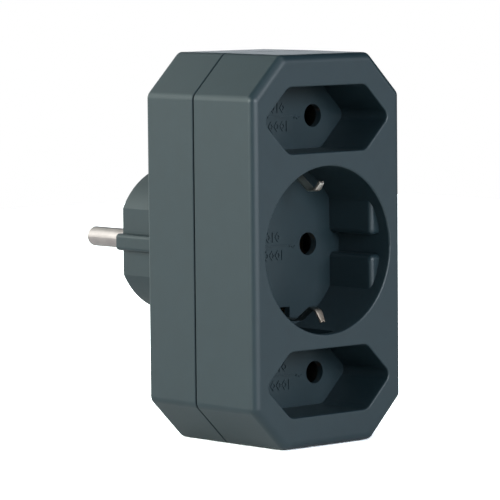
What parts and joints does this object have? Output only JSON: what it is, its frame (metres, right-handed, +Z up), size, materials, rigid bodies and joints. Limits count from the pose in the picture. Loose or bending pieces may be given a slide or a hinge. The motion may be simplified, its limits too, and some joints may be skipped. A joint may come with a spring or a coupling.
{
  "type": "multi socket adapter",
  "caption": "Upright plug-in adapter block: a round earthed outlet between flat outlets on its front, and a round earthed plug with solid pins on its back.",
  "frame": {"origin": "centre of the plug's flat end face, midway between its pins", "axes": "+Y out of the plug face along the pins, +Z up along the row of outlets, +X to the right as seen from the front"},
  "size_m": [0.047, 0.0747, 0.0912],
  "materials": {
    "housing_plastic": "fine satin moulded anthracite",
    "carrier_plastic": "natural moulded",
    "plated_pin": "nickel plated, turned",
    "plated_strip": "nickel plated strip",
    "spring_bronze": "rolled spring strip",
    "brass": "stamped",
    "screw_steel": "zinc plated"
  },
  "bodies": {
    "root": {"front_housing": "housing_plastic", "rear_housing": "housing_plastic", "contact_carrier": "carrier_plastic", "earth_strap": "plated_strip", "earth_finger_upper": "plated_strip", "earth_finger_lower": "plated_strip", "earth_rivets": "brass", "housing_screws": "screw_steel", "live_pin": "plated_pin", "neutral_pin": "plated_pin", "live_bar": "brass", "neutral_bar": "brass", "live_rivets": "brass", "neutral_rivets": "brass", "live_contact_upper": "spring_bronze", "live_contact_middle": "spring_bronze", "live_contact_lower": "spring_bronze", "neutral_contact_upper": "spring_bronze", "neutral_contact_middle": "spring_bronze", "neutral_contact_lower": "spring_bronze"}
  },
  "joints": []
}
